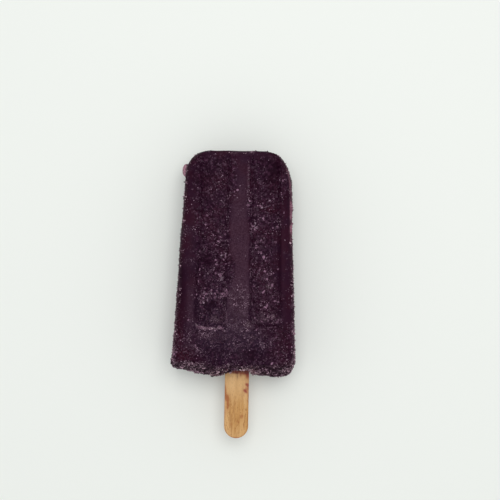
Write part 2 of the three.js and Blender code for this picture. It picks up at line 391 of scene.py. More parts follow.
# %% The cross-section
def section_point(y, u):
    """A point (x, z) of the cross-section at y, for u from 0 to 8 round its edge: top, corner, right,
    corner, bottom, corner, left, corner. Each straight part is a mix of its two ends, and each corner
    is a quarter circle of radius min(SIDE_ROUNDING, 0.8 * half height)."""
    to_tip = BLOCK_LENGTH - y
    wide = [
        tapered(side, y) - drawn_in(y, *rim_corner) - drawn_in(to_tip, *tip_corner)
        for side, rim_corner, tip_corner in (
            (LEFT, RIM_CORNER_LEFT, TIP_CORNER_LEFT),
            (RIGHT, RIM_CORNER_RIGHT, TIP_CORNER_RIGHT),
        )
    ]
    tall = half_thickness(y) - drawn_in(y, RIM_ROUNDING, RIM_ROUNDING)
    tall = tall - drawn_in(to_tip, TIP_ROUNDING, TIP_ROUNDING)
    radius = np.minimum(SIDE_ROUNDING, 0.8 * tall)
    x_left, x_right, z_flat = -(wide[0] - radius), wide[1] - radius, tall - radius
    part = np.minimum(np.floor(u), 7).astype(int)
    t = u - part
    centre_x = np.choose(part, [mix(x_left, x_right, t), x_right, x_right, x_right,
                                mix(x_right, x_left, t), x_left, x_left, x_left])
    centre_z = np.choose(part, [z_flat, z_flat, mix(z_flat, -z_flat, t), -z_flat,
                                -z_flat, -z_flat, mix(-z_flat, z_flat, t), z_flat])
    quarter = (part // 2 + np.where(part % 2, t, 0)) * math.pi / 2
    return centre_x + radius * np.sin(quarter), centre_z + radius * np.cos(quarter)


right_side = section_point(BLOCK_LENGTH / 2, 3.0)
print("half way along, the right side is at x =", right_side[0].round(2), "mm")


# %% Channels, dome and feet
def channel_outside(x, y):
    """Distance from (x, y) to the inner line of the nearest channel's rounded corners. The channel's
    edge lies CHANNEL_END_CORNER outside that line."""
    inner, outer = tapered(CHANNEL_INNER, y), tapered(CHANNEL_OUTER, y)
    p = np.abs(np.abs(x) - (inner + outer) / 2) - ((outer - inner) / 2 - CHANNEL_END_CORNER)
    q = CHANNEL_CLOSED_AT + CHANNEL_END_CORNER - y
    return np.hypot(np.maximum(p, 0), np.maximum(q, 0)) + np.minimum(np.maximum(p, q), 0)


def channel_depth(x, y):
    """Depth of a slot with sloped walls and one rounded closed end."""
    return CHANNEL_DEPTH * smooth(CHANNEL_END_CORNER - channel_outside(x, y), 0, CHANNEL_WALL)


def dome_pull(x, y, z):
    """How far the free end is pulled out: a parabola through the thickness, tilted a little and
    falling back towards the sides, which fades out along the block."""
    bulge = (DOME + DOME_TILT * x) * (1 - (z / half_thickness(y)) ** 2)
    return (bulge - RIM_CURVE * x * x) * (1 - smooth(y, 0, DOME_REACH))


def clear_of_table(x, y):
    """The back stays a hair's breadth off the table except at its three feet."""
    nearest = np.min([np.hypot(x - foot_x, y - foot_y) for foot_x, foot_y in FEET], axis=0)
    return FOOT_HEIGHT * smooth(nearest, 0, FOOT_REACH)


channel_middle = tapered(CHANNEL_INNER, 60.0) / 2 + tapered(CHANNEL_OUTER, 60.0) / 2
print("the right channel at y = 60 is", channel_depth(channel_middle, 60.0).round(2), "mm deep")


# %% [markdown]
# ## The block's grid
#
# The first parameter runs round the cross-section. The second runs from the middle of the free end
# out to its rim, along the block, and over the tip to its middle. On both ends the rows are the
# cross-section made smaller and smaller, down to a pole. The columns are closest together on the
# upper face and the rows close up at the edges, which puts the points where the relief needs them.

# %% Lay the grid
COLUMNS = (104, 14, 40, 14, 64, 14, 40, 14)  # points on each part of the cross-section
FREE_END_ROWS = 30
LONG_ROWS = 222
TIP_ROWS = 22
CLOSE_ROWS = 3.0  # length over which rows close up towards the rim and the tip


def rows_along(count):
    """Places from 0 to BLOCK_LENGTH, evenly spaced but closing up at both ends: the even places are
    bent by a quarter circle over the last CLOSE_ROWS mm."""
    bend = CLOSE_ROWS * (math.pi / 2 - 1)
    even = np.linspace(-bend, BLOCK_LENGTH + bend, count)

    def closed_up(left):
        turn = np.clip((CLOSE_ROWS - left) / CLOSE_ROWS, 0, math.pi / 2)
        return np.where(turn > 0, CLOSE_ROWS * (1 - np.sin(turn)), left)

    from_tip = BLOCK_LENGTH - closed_up(BLOCK_LENGTH - even)
    return np.where(even < BLOCK_LENGTH / 2, closed_up(even), from_tip)


around = np.concatenate([part + np.arange(count) / count for part, count in enumerate(COLUMNS)])
along = np.concatenate([np.zeros(FREE_END_ROWS), rows_along(LONG_ROWS), np.full(TIP_ROWS, BLOCK_LENGTH)])
ring = np.concatenate([
    np.arange(1, FREE_END_ROWS + 1) / (FREE_END_ROWS + 1),
    np.ones(LONG_ROWS),
    np.arange(TIP_ROWS, 0, -1) / (TIP_ROWS + 1),
])
row_y, column_u = np.meshgrid(along, around, indexing="ij")
ring = ring[:, None]

edge_x, edge_z = section_point(row_y, column_u)
depth = channel_depth(edge_x, row_y)
half = half_thickness(row_y)
x = ring * edge_x
z = ring * np.sign(edge_z) * np.minimum(np.abs(edge_z), half - depth)
y = row_y - dome_pull(x, row_y, z)
lift = clear_of_table(x, row_y) * smooth(-z / half, 0.8, 1)
block = np.stack([x, y, z + half + lift], axis=-1)
print("block grid of", block.shape[:2], "points")
print("it reaches from", block.min((0, 1)).round(1), "to", block.max((0, 1)).round(1), "mm")

# %% [markdown]
# ## Where the ice is of which kind
#
# The block isn't one even thing. Crushed crystals fill the channels and spill over their edges, the
# middle rib is smooth, the free end is craggy, and the tip has melted round. Each kind is a mask:
# one number from 0 to 1 for each point of the grid, worked out from where the point lies. The relief,
# the loose crystals and the colours all use the same masks, so that they agree.

# %% Normals of the grid
def grid_normals(points):
    """Unit normals of a closed grid: the cross product of the steps along its two parameters."""
    round_step = np.roll(points, -1, axis=1) - np.roll(points, 1, axis=1)
    long_step = np.gradient(points, axis=0)
    normal = np.cross(round_step, long_step)
    return normal / np.maximum(np.linalg.norm(normal, axis=-1, keepdims=True), 1e-9)


outwards = grid_normals(block)
if (block[..., 0] * outwards[..., 0]).mean() < 0:
    outwards = -outwards
print("share of the normals that point up:", (outwards[..., 2] > 0.5).mean().round(2))


# %% Helpers for masks
def fading(distance, reach):
    """1 at no distance, falling off like exp(-t^2) with t = distance / reach."""
    return np.exp(-((distance / reach) ** 2))


def spots(places, at_x=x, at_y=row_y):
    """The sum of several spots. Each is given as x, y, half width, half length and strength, and fades
    like exp(-r^2) over its ellipse."""
    return sum(
        strength * np.exp(-(((at_x - x0) / wide) ** 2) - ((at_y - y0) / long) ** 2)
        for x0, y0, wide, long, strength in places
    )


def within(low, high, soft, value):
    """1 where the value is between low and high, with soft edges."""
    return smooth(value, low - soft, low + soft) * (1 - smooth(value, high - soft, high + soft))


print("at its half width a spot keeps", round(fading(1.0, 1.0), 2), "of its strength")

# %% Faces, walls and ends
CRAGS_REACH = 7.0
MELTED_REACH = 7.0

on_length = ring == 1
up = smooth(outwards[..., 2], 0.15, 0.6)
right_wall = within(1.5, 3.5, 0.25, column_u) * on_length
left_wall = within(5.5, 7.5, 0.25, column_u) * on_length
walls = right_wall + left_wall
facing_out = smooth(-outwards[..., 1], 0.3, 0.8)
end_starts_at = np.interp(x, [-18, -12], [0.5, 4.0])
free_end = facing_out * (1 - smooth(row_y, 0.6, 2.0))
free_end = free_end * (1 - smooth(block[..., 1], end_starts_at, end_starts_at + 0.8))
in_channel = smooth(depth, 0.1 * CHANNEL_DEPTH, 0.7 * CHANNEL_DEPTH)
in_band = 1 - smooth(row_y, 0.8 * CHANNEL_CLOSED_AT, 1.3 * CHANNEL_CLOSED_AT)
craggy = 1 - smooth(row_y, 0, CRAGS_REACH)
melted_tip = 1 - smooth(BLOCK_LENGTH - row_y, 0, MELTED_REACH)
off_table = smooth(block[..., 2], 2 * FOOT_HEIGHT, 1)
print("walls cover", round(100 * walls.mean()), "% of the grid")
print("the free end covers", round(100 * free_end.mean()), "%")

# %% Crushed crystals and the smooth rib
cloud = layered(block, 6.0, 3, 200)
cloudy = smooth(cloud, -0.5, 0.5)
spill = 1.1 * layered(block, 4.0, 4, 260)
rib_left = np.interp(row_y, [0, 25, 30, 34, 37, 42, 46, 50, 58, 65, 70, 74, 88],
                     [5.2, 4.7, 4.3, 3.0, 1.4, 1.3, 2.8, 3.5, 3.6, 3.0, 1.4, 1.0, 1.4])
rib_right = np.interp(row_y, [0, 25, 60, 70, 88], [4.6, 4.2, 3.4, 3.0, 2.6])
rib_edge = np.where(x > 0, rib_right, rib_left)
inner_line = rib_edge + spill
outer_right = np.interp(row_y, [14, 28, 36, 56, 63, 88], [18.6, 18.6, 16.0, 16.0, 18.6, 19.0])
outer_left = np.interp(row_y, [20, 45, 75], [17.2, 18.4, 19.4])
outer_line = np.where(x > 0, outer_right, outer_left) + 2.3 * spill
crushed = (
    smooth(BLOCK_LENGTH - row_y + spill, 1.5, 4)
    * smooth(np.abs(x), inner_line - 0.3, inner_line + 0.9)
    * (1 - smooth(np.abs(x), outer_line - 3.0, outer_line + 1.2))
    * smooth(row_y, 14.5, 17)
    * on_length
)
soft = np.interp(row_y, [30, 55, 80], [0.45, 0.8, 1.6])
on_rib = (1 - smooth(np.abs(x) - 0.8 * spill, rib_edge - soft, rib_edge + soft)) * on_length
print("crushed crystals cover", round(100 * crushed.mean()), "% of the grid")

# %% [markdown]
# ## Relief
#
# The surface stands out or back along its normals. The first three layers are the solid's own:
# swells left by melting, packed crystals in the channels, and crags on the free end. On top come
# finer ones that only this grid can hold: broken facets of single crystals, and a fine frosty grain.
# A Displace modifier could push the points out too, but only by one texture at a time, and the
# crystals that are strewn later have to find the same surface.
# The walls are drawn in a little, to make room for the loose crystals that stand on them, and the
# ribs of the back stay flat, because the lolly lies on them.

# %% Push the surface out and in
SWELL = (0.35, 17.0, 0.0)  # height, size and where the noise is read from
GRAINS = (0.30, 5.0, 50.0)
CRAGS = (0.70, 5.2, 96.0)
ROOM_FOR_CRYSTALS = 0.3


def solid_layer(height, size, shift):
    return height * noise(block, size, shift)


grainy = np.maximum(np.maximum(0.25, in_channel), 0.75 * in_band)
relief = solid_layer(*SWELL) + grainy * solid_layer(*GRAINS)
relief += craggy * solid_layer(*CRAGS)

# Each finer layer is a height in mm, times where it lies, times a noise of a size in mm.
rough = np.clip(0.08 + crushed + 0.45 * in_band * up + 0.5 * walls, 0, 1) * (1 - 0.8 * melted_tip)
relief += 0.28 * crushed * (1 - melted_tip) * facets(block, 2.1, 10)
relief += 0.17 * rough * facets(block, 1.15, 20)
relief += 0.06 * (1 - 0.5 * melted_tip) * layered(block, 1.6, 2, 30)
relief += 0.42 * craggy * facets(block, 2.4, 40)
relief += 0.22 * craggy * facets(block, 1.2, 60)
relief += 0.9 * left_wall * np.exp(-(((row_y - 69) / 0.8) ** 2) - (z / 2) ** 2)  # one small swelling

# The free end stands back by a varying depth, for its lumps, and in a notch round the stick.
notch = np.exp(-((x / 5.8) ** 6) - (z / 7.0) ** 4)
free_end_room = np.interp(x, [-22, -17, -8, 0, 6, 14, 19], [0.8, 0.1, 0.0, 0.4, 1.0, 0.9, 0.0])
free_end_room += 3.2 * notch
relief -= np.maximum(ROOM_FOR_CRYSTALS * walls, free_end_room * free_end)
block_fine = block + outwards * (off_table * relief)[..., None]
print("relief from", relief.min().round(2), "to", relief.max().round(2), "mm")

# %% Make the ice
rows, columns = block.shape[:2]
poles = [block_fine[0].mean(0), block_fine[-1].mean(0)]
ice_points = np.concatenate([block_fine.reshape(-1, 3), poles]) + start
ice = put_in_mesh("fruit_ice_block", ice_points, *closed_faces(rows, columns))

# %% [markdown]
# ## Frost, clear ice, painted shadow and blush
#
# More masks, for the colours. Frost greys the middle rib and parts of the band between the channels
# and the rim. In some places the ice is clear and nearly black, and the same dark is painted as
# shadow across the closed end of the right channel. Where it is thin, on the right edge, light comes
# through it pink. Rime is the brightest: broken lines of frost along the rim, the middle of the tip and
# the closed end of the left channel, and a line of painted highlight with frost on the right edge of
# the rib. A brush could paint all this on the mesh, but then a change of the grid would lose it. So
# each mask is a sum of soft spots and lines in millimetres, broken up by noise.
#
# Noise that is made on a lattice gives itself away by its straight rows, so the noise for these
# masks is read from a copy of the block that is turned aslant to it.

# %% Where frost lies, where the ice is clear and where shadow is painted
FROSTED = (
    (0, 27, 4.5, 7, 0.6),  # foot of the middle rib
    (3, 17.5, 6, 3, 0.6),  # it fans out to both sides
    (6.8, 11.5, 2.6, 2.6, 0.75),
    (-0.5, 8, 2, 1.6, 0.4),
    (-6, 68, 6, 6, 0.15),
    (-21, 54, 2.5, 6, 0.25),
    (-21, 42.5, 2.5, 2.5, 0.3),
    (-13, 11.5, 4, 2.6, 0.6),
    (-5, 12.5, 3, 2, 0.5),
    (-18.5, 9, 2.5, 3, 0.4),
    (14, 9, 3.5, 2.6, 0.15),
    (-18.5, 23, 2.2, 6, 0.3),
)
CLEAR_AND_SHADOW_SPOTS = (
    (14.5, 81, 5.5, 6, 1.0),
    (-24, 37, 2.6, 6, 0.9),
    (-23.4, 25, 2.0, 11, 0.8),
    (-12.5, 45, 4, 5, 0.6),
    (-13.5, 32, 2.5, 2, 0.6),
    (-16, 76, 5, 8, 0.6),
    (-11, 81, 5, 3, 0.4),
    (-13, 42, 2.6, 2.6, 0.6),
    (-14, 66, 4, 4, 0.4),
    (-7.5, 5, 6, 2.6, 0.9),
    (-0.5, 12.3, 2.6, 1.8, 0.5),
    (4.6, 4.8, 5.2, 3.4, 1.0),
    (14, 25, 3, 3.5, 0.6),
    # painted shadow: this spot darkens the closed end of the right channel, beside end_shadow
    (6.8, 17.6, 1.5, 1.4, 0.5),
    (19.5, 8, 3, 3, 0.5),
    (-18, 37, 2, 3, 0.5),
    (13.5, 71, 4, 2, 0.5),
    (19.5, 69, 2.5, 4, 0.5),
    (-12.5, 23.6, 4.6, 3.4, 1.1),
    (17, 14, 4, 2, 0.5),
    (7.4, 23.6, 2.0, 4.0, 0.8),
)
WARM = (
    (-21.5, 3.5, 5, 3.5, 0.7),
    (-24, 14, 2.2, 9, 0.6),
    (12.3, 63.9, 2.5, 2.2, 0.7),
    (-22, 62, 3, 16, 0.2),
    (20, 26, 2.5, 14, 0.2),
)
COOL = (
    (-11, 24, 6, 9, 1.0),
    (-13, 44, 5, 5, 0.7),
    (-9, 7, 7, 5, 1.0),
    (0, 14, 8, 6, 0.8),
    (6, 7, 6, 5, 1.0),
)
BLUSHES = (  # these have their x and half width down the right side, in parts of the cross-section
    (0, 54, 0.22, 3.0, 1.0),
    (0, 59.5, 0.3, 3.0, 1.2),
    (0, 65.5, 0.2, 3.0, 0.6),
    (0, 71, 0.15, 4.0, 0.5),
    (0, 78, 0.15, 5.0, 0.4),
)
print("spots:", len(FROSTED), "frosted,", len(CLEAR_AND_SHADOW_SPOTS), "clear,", len(WARM), "warm,", len(COOL), "cool")

# %% A copy of the block turned aslant
TURNS = (0.7, 0.5, 1.1)  # radians about x, y and z
sines, cosines = np.sin(TURNS), np.cos(TURNS)
about_x = np.array([[1, 0, 0], [0, cosines[0], -sines[0]], [0, sines[0], cosines[0]]])
about_y = np.array([[cosines[1], 0, sines[1]], [0, 1, 0], [-sines[1], 0, cosines[1]]])
about_z = np.array([[cosines[2], -sines[2], 0], [sines[2], cosines[2], 0], [0, 0, 1]])
askew = block @ (about_x @ about_y @ about_z)
wisps = smooth(layered(askew, 2.2, 3, 240), -0.35, 0.35)
print("the copy reaches from", askew.min((0, 1)).round(1), "to", askew.max((0, 1)).round(1), "mm")

# %% Masks of frost, clear ice with painted shadow, and blush
rib_frost = np.interp(row_y, [0, 8, 20, 28, 60, 72, 80, 88], [0.0, 0.1, 0.5, 0.75, 0.75, 0.55, 0.25, 0.15])
side_rib = within(18.3, 20.6, 0.5, -x + 0.5 * spill) * within(12, 33, 4, row_y)
frost = on_rib * rib_frost + 0.35 * side_rib + spots(FROSTED) * (0.3 + 0.9 * wisps)
frost = up * np.clip(frost, 0, 1)
low_middle = 0.3 * (1 - smooth(row_y, 18, 45)) * (1 - smooth(np.abs(x + 4), 13, 20))
cool = up * np.clip(spots(COOL) + low_middle, 0, 1)
# Painted shadow: a dark line across the closed end of the right channel, laid into the clear ice mask and
# coloured like clear ice.
end_shadow = 0.8 * within(16.5, 17.5, 0.5, row_y) * within(6.5, 18, 1, x)
clear_ice_and_shadow = np.clip(up * (spots(CLEAR_AND_SHADOW_SPOTS) * (0.8 + 0.7 * cloud) + end_shadow), 0, 1)
warm = np.clip(up * spots(WARM) + 0.5 * walls * cloudy, 0, 1)
shoulder = smooth(column_u, 1.48, 1.66) * (column_u < 3) * on_length
blush = spots(BLUSHES, np.maximum(column_u - 1.7, 0), row_y)
blush = np.clip(shoulder * blush * (0.2 + 1.1 * wisps), 0, 1)
print("frost reaches", frost.max().round(2), "and blush", blush.max().round(2))

# %% Broken lines of rime
PALE_HEAPS = (
    (-9.6, 18.4, 2.2, 1.0, 1.0),
    (11.0, 20.2, 1.5, 1.6, 1.2),
    (14.2, 20.2, 0.8, 1.4, 0.8),
    (4.2, 16.4, 1.2, 1.6, 0.8),
    (12.6, 32.5, 1.4, 1.4, 0.8),
)
ragged = layered(askew, 1.5, 2, 220)
rim_at = np.interp(x, [-26, -16, -9, -5, 0, 9, 14, 16, 19, 22],
                   [0.9, 0.7, -1.0, 0.4, 1.0, 0.4, -0.4, 0.2, 1.9, 2.6])
rim_line = fading(block[..., 1] - rim_at - 0.5 * spill, 0.4) * smooth(z, 4, 8)
rim_bright = np.interp(x, [-26, -23, -15, -11, -6, -2, 3, 8, 14, 18, 22, 25],
                       [0.2, 0.7, 1.1, 0.4, 0.6, 0.9, 0.2, 0.1, 0.6, 1.0, 0.4, 0.3])
bare_corner = 1 - 0.6 * smooth(x, 13, 19)
fringe = free_end * fading(z, 3.5) * bare_corner
beside_stick = fading(x - 4.6, 2.4) + 0.25 * fading(x + 6.0, 3.0)
entry = free_end * beside_stick * fading(z - 6.8, 3.2)
# Painted shade: this mask marks the free end and a band along its rim. Besides its pale flecks, the ice's
# material darkens it there for the shade on the end's face.
crust_and_end_shade = np.clip(free_end + 0.3 * rim_line, 0, 1)
tip_line = fading(BLOCK_LENGTH - row_y, 1.1) * within(-6, 5.0, 1.0, x + spill)
tip_line = tip_line * (1 - smooth(half - z + 1.2 * spill, 1, 3))
end_arc = within(5.4, 6.3, 0.2, channel_outside(x, row_y) + 0.5 * spill)
end_arc = end_arc * within(13, 20, 0.6, row_y) * within(-17, -7, 0.8, x)
# Frost splinters along the right edge of the rib, with a thin pale line of painted highlight on the ice
# under them.
rib_line = fading(x - 3.3 - 0.1 * spill, 0.35) * within(69, 83, 2, row_y)
pale_heaps = spots(PALE_HEAPS) * smooth(ragged, -0.5, 0.3)
foot_line = fading(x + 4.7 - 0.1 * spill, 0.3) * within(17.5, 22.5, 0.6, row_y)
on_top = 0.75 * end_arc * smooth(ragged, -0.9, 0.1) + 0.25 * rib_line + 0.4 * foot_line + 0.3 * pale_heaps
rime = np.clip(
    0.4 * rim_line * rim_bright * smooth(ragged, 0.0, 0.25)
    + 0.9 * tip_line * smooth(ragged, -0.3, 0.4)
    + up * on_top
    + (0.7 * fringe + 0.8 * entry) * smooth(ragged, -0.2, 0.4)
    + 0.5 * walls * smooth(row_y, 55, 10) * smooth(ragged, -0.1, 0.5),
    0, 1,
)
print("rime covers", round(100 * (rime > 0.1).mean()), "% of the grid")


# %% Keep the masks on the ice
def with_poles(mask):
    """A mask of the grid's points, followed by its two poles."""
    return np.append(np.broadcast_to(mask, (rows, columns)).ravel(), [mask[0].mean(), mask[-1].mean()])


foot = on_rib * up * within(16, 34, 3.5, row_y)
grain = np.clip(crushed + 0.7 * in_band * up + 0.6 * foot + 0.3 * walls + 0.1, 0, 1)
gloss = 0.35 * smooth(np.abs(outwards[..., 2]), 0.4, 0.1) * (1 - facing_out) + 0.02
MASKS = {
    "frost": frost,
    "rime": rime,
    "clear_ice_and_shadow": clear_ice_and_shadow,
    "blush": blush,
    "gloss": gloss,
    "cool": cool,
    "warm": warm,
    "grain": grain,
    "crust_and_end_shade": crust_and_end_shade,
}
for name, mask in MASKS.items():
    keep_on_mesh(ice, name, with_poles(mask))
    print(name, "covers", round(100 * float(mask.mean()), 1), "% of the ice")

# %% [markdown]
# ## Loose crystals
#
# Crushed ice, refrozen, sits in the channels as grains about half a millimetre across with a few
# larger lumps among them, and rime grows on the edges as finer splinters. Copies of one crystal would
# look alike, and a bump map would leave the outline smooth. So each crystal is a tiny closed grid of
# its own, with corners moved at random. One function makes any number of them at once, and a density
# mask over the block says where they go.

# %% One crystal, many times
CLEARANCE = 0.02  # crystals stay this far off the table
IN_AND_OUT = (0.62, 1.3)  # a corner's distance from the middle, least and most
SPREAD = (0.72, 1.35)  # an axis's length, least and most


def crystals(count, ring_count, ring_points, rng):
    """Corners of `count` crystals, as an array (count, corners, 3) of unit size: rings of points at
    equal angles from pole to pole, every second ring turned by half a step, and each corner then moved
    in or out at random."""
    polar = np.arange(1, ring_count + 1)[:, None] * math.pi / (ring_count + 1)
    half_turns = 0.5 * (np.arange(ring_count)[:, None] % 2)
    turn = (np.arange(ring_points) + half_turns) * 2 * math.pi / ring_points
    level = np.broadcast_to(np.cos(polar), turn.shape)
    rings = np.stack([np.sin(polar) * np.cos(turn), np.sin(polar) * np.sin(turn), level], -1)
    unit = np.concatenate([rings.reshape(-1, 3), [[0, 0, 1], [0, 0, -1]]])
    return unit * rng.uniform(*IN_AND_OUT, (count, len(unit), 1))


def unit_length(vectors):
    return vectors / np.linalg.norm(vectors, axis=-1, keepdims=True)


def crystal_mesh(name, place, normal, size, stretch, stand, lean, shape, rng, lie=(0, 0, 0)):
    """One joined mesh of crystals. size: (usual, spread) in mm, drawn from a log-normal law. stretch:
    two ways across and along the normal. stand: how far the middle stands off the surface, in sizes.
    lean: how far it leans off the normal at random. shape: rings, and points on a ring. lie: the way
    that the first axis tends to lie, with a random part added."""
    count = len(place)
    grow = size[0] * np.exp(size[1] * np.clip(rng.normal(size=(count, 1)), -2, 2))
    spread = rng.uniform(*SPREAD, (count, 3))
    scale = spread * stretch * grow / 2
    third = unit_length(normal + lean * rng.normal(size=normal.shape))
    wish = np.array(lie) + rng.normal(size=normal.shape)
    second = unit_length(np.cross(third, wish))
    axes = np.stack([np.cross(second, third), second, third], axis=1)
    unit = crystals(count, *shape, rng)
    points = np.einsum("nci,nij->ncj", unit * scale[:, None], axes)
    points += (place + normal * grow * stand)[:, None]
    points[..., 2] = np.maximum(points[..., 2], CLEARANCE)
    corners = unit.shape[1]
    quads, triangles = closed_faces(*shape)
    first_corner = (np.arange(count) * corners)[:, None, None]
    quads = (quads + first_corner).reshape(-1, 4)
    triangles = (triangles + first_corner).reshape(-1, 3)
    return put_in_mesh(name, points.reshape(-1, 3) + start, quads, triangles, flat=True)


one_crystal = crystals(1, 2, 5, np.random.default_rng(1))
print("a crystal of 2 rings with 5 points each has", one_crystal.shape[1], "corners")

# %% Strew them on the block
clump_tone = smooth(layered(askew, 2.0, 3, 340), -0.3, 0.45)
print("the clumps' tones average", clump_tone.mean().round(2))


def strew(name, count, density, seed, **kind):
    """Crystals on the block. The chance of a place is its density times the area of its grid cell.
    Each keeps a tone, which is partly its own and partly that of the clump it belongs to."""
    rng = np.random.default_rng(seed)
    step_long = np.linalg.norm(np.gradient(block_fine, axis=0), axis=-1)
    step_round = np.linalg.norm(np.roll(block_fine, -1, axis=1) - block_fine, axis=-1)
    chance = np.cumsum((np.clip(density, 0, None) * off_table * step_long * step_round).ravel())
    picked = np.searchsorted(chance, rng.uniform(0, chance[-1], count))
    row, column = np.unravel_index(picked, block_fine.shape[:2])
    next_row, next_column = np.minimum(row + 1, rows - 1), (column + 1) % columns
    s, t = rng.uniform(size=(2, count, 1))
    near = mix(block_fine[row, column], block_fine[next_row, column], s)
    far = mix(block_fine[row, next_column], block_fine[next_row, next_column], s)
    piece = crystal_mesh(name, mix(near, far, t), outwards[row, column], rng=rng, **kind)
    corners = len(piece.data.vertices) // count
    own_tone = rng.uniform(size=count)
    tone = np.clip(own_tone * (0.5 + 0.8 * clump_tone[row, column]), 0, 1)
    for label, values in (("tone", tone), ("rime", rime[row, column]), ("blush", blush[row, column])):
        keep_on_mesh(piece, label, np.repeat(values, corners))
    return piece


# %% Grains in the channels
clumps = smooth(layered(askew, 5.0, 3, 300), -0.1, 0.4)
small_clumps = smooth(layered(askew, 1.9, 2, 320), 0.0, 0.35)
fewer_at_tip = np.interp(row_y, [10, 20, 45, 60, 75, 84], [1.0, 1.3, 1.1, 0.6, 0.3, 0.0])
fewer_at_tip = fewer_at_tip * np.where(x > 0, 1.0, np.interp(row_y, [30, 60], [0.9, 0.5]))
BRIGHT_CLUMPS = (
    (-10.3, 28.8, 3.2, 2.2, 3.4),
    (-6.5, 30, 2.0, 2.0, 1.2),
    (11.5, 20, 2.6, 2.0, 3.2),
    (18, 20.5, 1.8, 1.5, 0.8),
    (7.5, 47.5, 2, 3, 1.2),
    (-6.3, 37, 2.2, 2.2, 1.2),
    (-6.0, 44.5, 1.6, 1.6, 0.8),
    (-13, 53, 1.5, 4, 0.6),
    (7.2, 63.5, 1.6, 3, 1.4),
    (7.2, 54.5, 1.6, 3, 1.6),
    (12, 40, 3, 3, 0.2),
    (4, 33, 2.5, 2.5, -1.5),
    (12.5, 46, 2.5, 4, -0.8),
    (-9, 63, 3, 2, -0.5),
)
# Fewer grains where the ice is clear and where shadow is painted.
away_from_clear_and_shadow = 1 - 0.96 * np.clip(1.3 * clear_ice_and_shadow, 0, 1)
grain_density = away_from_clear_and_shadow * (
    crushed * (0.1 + clumps * small_clumps) * fewer_at_tip * np.where(x > 0, 1.0, 0.7)
    + up * crushed * spots(BRIGHT_CLUMPS) * small_clumps
    + 2.5 * end_arc * up * smooth(ragged, -0.2, 0.2)
    + 0.25 * in_band * up * clumps * small_clumps
    + 0.006 * (1 - on_rib)
)
grains = strew("channel_grains", 3900, grain_density, 401, size=(0.55, 0.45), stretch=(1.1, 0.85, 0.6),
               stand=0.0, lean=0.3, shape=(2, 5))

# %% Larger lumps among the grains
lump_places = spots(BRIGHT_CLUMPS) + 0.6 * fewer_at_tip * clumps
lump_places = away_from_clear_and_shadow * up * crushed**3 * lump_places * small_clumps
packed = strew("channel_lumps", 170, lump_places, 421, size=(0.85, 0.25), stretch=(1.2, 0.8, 0.5),
               stand=0.0, lean=0.3, shape=(2, 6))

# %% Fine specks in the channels and the band
band_haze = np.clip(spots(FROSTED), 0, 1) * up
speck_density = away_from_clear_and_shadow * (
    0.7 * crushed * fewer_at_tip * (0.15 + 0.85 * clumps)
    + 1.0 * in_band * up * wisps * (0.35 + band_haze)
    + 1.7 * band_haze * wisps
    + 0.9 * foot * smooth(row_y, 34, 26)
    + 0.13 * up * wisps
) * (1 - 0.75 * on_rib * smooth(row_y, 30, 38))
specks = strew("fine_specks", 11000, speck_density, 451, size=(0.3, 0.3), stretch=(1.1, 0.8, 0.7),
               stand=0.05, lean=0.4, shape=(1, 5))

# %% Rime on the edges and the free end
speck = smooth(layered(askew, 1.6, 2, 500), 0.0, 0.5)
lower_sides = walls * np.interp(row_y, [0, 8, 40, 75, 85], [2.2, 1.6, 0.7, 0.35, 0.1])
right_frost = right_wall * within(71, 81, 2, row_y)
rime_density = (
    8.0 * rim_line * rim_bright * (0.1 + speck) * smooth(ragged, -0.2, 0.3)
    + free_end * bare_corner * (0.8 + 1.6 * fading(x + 20, 4.5)) * (0.1 + speck)
    + 1.5 * fringe * (0.2 + speck)
    + 1.0 * entry
    + 0.6 * lower_sides * (0.15 + speck)
    + 1.6 * right_frost * speck
    + 1.8 * tip_line * (0.3 + speck)
    + 1.4 * end_arc * up * (0.3 + speck)
    + 0.15 * rib_line * up
    + 0.3 * foot_line * up
    + 1.2 * pale_heaps * up
)
splinters = strew("rime_splinters", 17000, rime_density, 501, size=(0.36, 0.4), stretch=(1.0, 0.7, 1.2),
                  stand=0.18, lean=0.5, shape=(1, 4), lie=(2, 0, 0))

# %% Lumps of packed ice on the free end
lump_density = free_end * clumps + 0.5 * rim_line * rim_bright * small_clumps
lumps = strew("free_end_lumps", 1300, lump_density, 601, size=(0.9, 0.35), stretch=(1.4, 0.8, 0.6),
              stand=-0.05, lean=0.4, shape=(3, 6), lie=(1.5, 0, 0))

# %% Crumbs where the stick goes in
crumbs = strew("entry_crumbs", 460, entry, 651, size=(0.46, 0.4), stretch=(1.2, 0.8, 0.8), stand=0.8,
               lean=0.6, shape=(2, 5))

# %% [markdown]
# ## The refrozen drip
#
# On the left side near the tip a drip of melted juice froze again. It is thin enough for light to
# pass, so it is pink. It could be a swelling of the block's grid, but a piece of its own takes a finish
# of its own: a lumpy egg, half sunk in the side.

# %% Make the drip
DRIP_AT = (-22.2, BLOCK_LENGTH - 8.2)
DRIP_RADII = (2.1, 2.6, 2.1)
DRIP_RINGS = 40
DRIP_COLUMNS = 64
from_pole = np.linspace(0, math.pi, DRIP_RINGS + 2)[1:-1]
round_axis = np.linspace(0, 2 * math.pi, DRIP_COLUMNS, endpoint=False)
polar, turn = np.meshgrid(from_pole, round_axis, indexing="ij")
ball = np.stack([np.sin(polar) * np.cos(turn), np.sin(polar) * np.sin(turn), np.cos(polar)], -1)
drip_grid = ball * np.array(DRIP_RADII) + np.array([*DRIP_AT, half_thickness(DRIP_AT[1])])
drip_grid += ball * (0.40 * noise(drip_grid, 1.9, 9) + 0.12 * noise(drip_grid, 0.7, 5))[..., None]
drip_points = np.concatenate([drip_grid.reshape(-1, 3), [drip_grid[0].mean(0), drip_grid[-1].mean(0)]])
drip = put_in_mesh("refrozen_drip", drip_points + start, *closed_faces(*polar.shape))
